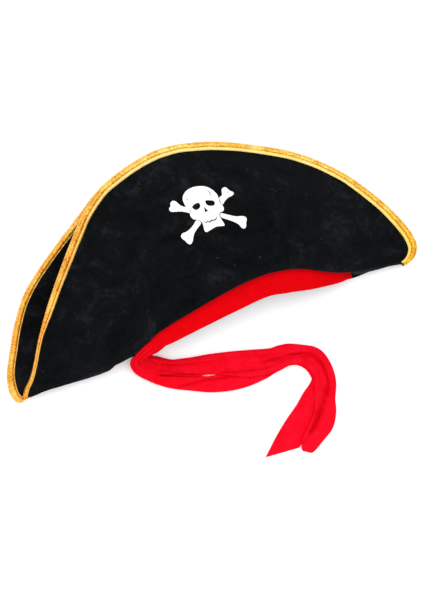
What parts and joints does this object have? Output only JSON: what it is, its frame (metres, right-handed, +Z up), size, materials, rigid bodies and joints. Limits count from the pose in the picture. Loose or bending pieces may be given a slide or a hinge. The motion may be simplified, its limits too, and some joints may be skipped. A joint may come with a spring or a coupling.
{
  "type": "pirate hat",
  "caption": "Cocked black costume hat with gold edge binding, a white skull and crossed bones print, and a red sash with loose tails.",
  "frame": {"origin": "middle of the back brim's flat face, on the surface that the hat lies on", "axes": "+X from the hat's left point to its right point, +Y from the head opening to the peak, +Z up from the back brim to the printed front brim"},
  "size_m": [0.4505, 0.3434, 0.0671],
  "materials": {
    "black_velour": "black pile velour, matt with a soft sheen",
    "foam": "grey open-cell foam sheet",
    "lining": "black taffeta, semi matt",
    "grosgrain": "black ribbed band",
    "gold_binding": "metallic gold woven binding, satin",
    "gold_thread": "dark gold sewing thread",
    "red_knit": "bright red fine knit, matt",
    "red_thread": "dark red sewing thread",
    "white_print": "white transfer print, matt",
    "label": "blank white woven label"
  },
  "bodies": {
    "hat": {"back_brim_outer": "black_velour", "back_brim_foam": "foam", "back_brim_inner": "black_velour", "back_trim": "gold_binding", "back_trim_stitch": "gold_thread", "side_fold_left": "black_velour", "side_fold_right": "black_velour", "crown_back": "black_velour", "crown_front": "black_velour", "crown_seam_piping": "black_velour", "lining_front": "lining", "lining_back": "lining", "sweatband_front": "grosgrain", "sweatband_back": "grosgrain", "care_label": "label", "sash_band": "red_knit", "sash_gather": "red_knit", "sash_bar_tack": "red_thread"},
    "front_brim": {"front_brim_outer": "black_velour", "front_brim_foam": "foam", "front_brim_inner": "black_velour", "front_trim": "gold_binding", "front_trim_stitch": "gold_thread", "skull_print": "white_print", "crossbone_upper_left": "white_print", "crossbone_upper_right": "white_print", "crossbone_lower_left": "white_print", "crossbone_lower_right": "white_print"},
    "sash_tails": {"sash_tail_upper": "red_knit", "sash_tail_lower": "red_knit"}
  },
  "joints": [
    {"name": "front_brim_flex", "type": "hinge", "parent": "hat", "child": "front_brim", "pos_m": [0, -0.09, 0.0087], "axis": [1, 0, 0], "range_deg": [0, 20]},
    {"name": "sash_tails_swing", "type": "hinge", "parent": "hat", "child": "sash_tails", "pos_m": [-0.092, -0.089, 0.01], "axis": [0, 0, 1], "range_deg": [-25, 12]}
  ]
}
